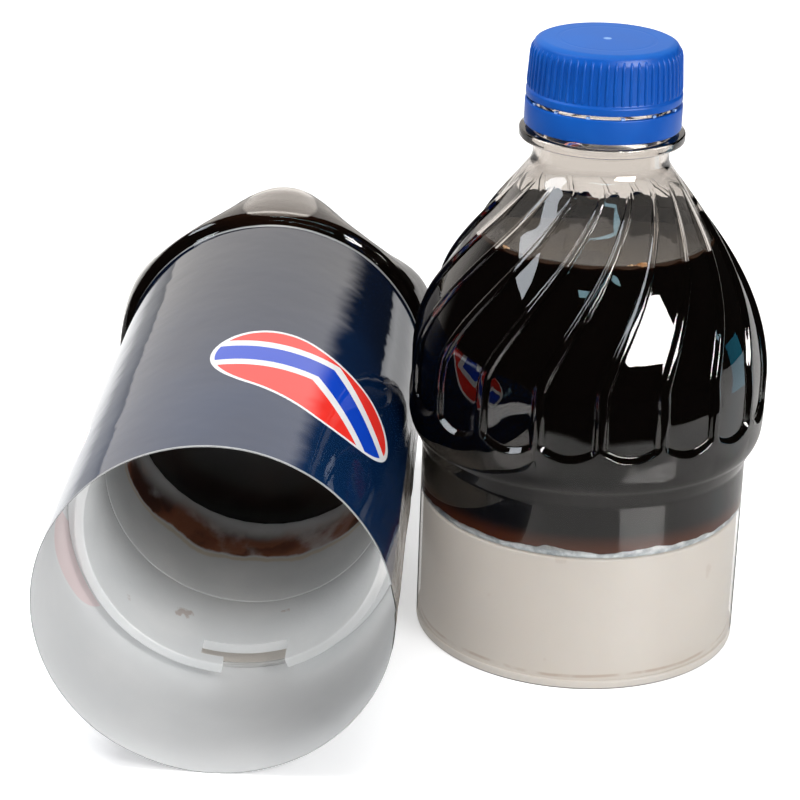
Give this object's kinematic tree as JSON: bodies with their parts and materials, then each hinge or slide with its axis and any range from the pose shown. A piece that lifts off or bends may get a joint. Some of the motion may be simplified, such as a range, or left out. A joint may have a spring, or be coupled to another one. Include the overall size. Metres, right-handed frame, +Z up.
{
  "type": "bottle diversion safe",
  "caption": "Soft-drink bottle that comes apart at its waist: a capped upper half with drink, and a lying lower half with label sleeve, bayonet collar and hidden dry compartment.",
  "frame": {"origin": "middle of the footprint of the two halves, on the surface they stand and lie on", "axes": "+Z up, along the standing upper half's axis; +Y from the lying half's open rim towards its base; +X from the lying half to the standing half"},
  "size_m": [0.1408, 0.1558, 0.1258],
  "materials": {
    "clear_pet": "clear",
    "insert_plastic": "translucent",
    "frosted_plastic": "frosted",
    "hot_glue": "satin",
    "dark_drink": "liquid",
    "blue_cap": "satin",
    "cap_liner": "soft",
    "label_film": "gloss"
  },
  "bodies": {
    "lower_half": {"label_sleeve": "label_film", "lower_shell": "clear_pet", "lower_drink": "dark_drink", "bayonet_collar": "frosted_plastic", "stash_tube": "frosted_plastic", "stash_floor": "clear_pet", "tube_glue_bead": "hot_glue"},
    "upper_half_carrier": {"upper_drink": "dark_drink"},
    "upper_half": {"upper_shell": "clear_pet", "upper_insert": "insert_plastic", "upper_glue_bead": "hot_glue"},
    "cap_carrier": {"cap_liner": "cap_liner"},
    "cap": {"screw_cap": "blue_cap"},
    "torn_band": {"tamper_band": "blue_cap"}
  },
  "joints": [
    {"name": "halves_pull_apart", "type": "slide", "parent": "lower_half", "child": "upper_half_carrier", "axis": [0, 0, 1], "range_m": [0, 0.1]},
    {"name": "bayonet_turn", "type": "hinge", "parent": "upper_half_carrier", "child": "upper_half", "pos_m": [0.03394, -0.00288, 0], "axis": [0, 0, 1], "range_deg": [-9, 0]},
    {"name": "cap_rise", "type": "slide", "parent": "upper_half", "child": "cap_carrier", "axis": [0, 0, 1], "range_m": [0, 0.0054]},
    {"name": "cap_turn", "type": "hinge", "parent": "cap_carrier", "child": "cap", "pos_m": [0.03394, -0.00288, 0.12], "axis": [0, 0, 1], "range_deg": [0, 720]},
    {"name": "band_spin", "type": "hinge", "parent": "upper_half", "child": "torn_band", "pos_m": [0.03394, -0.00288, 0.11], "axis": [0, 0, 1], "continuous": true}
  ],
  "couplings": [
    {"joint": "cap_turn", "follows": "cap_rise", "rad_per_m": 2327}
  ]
}
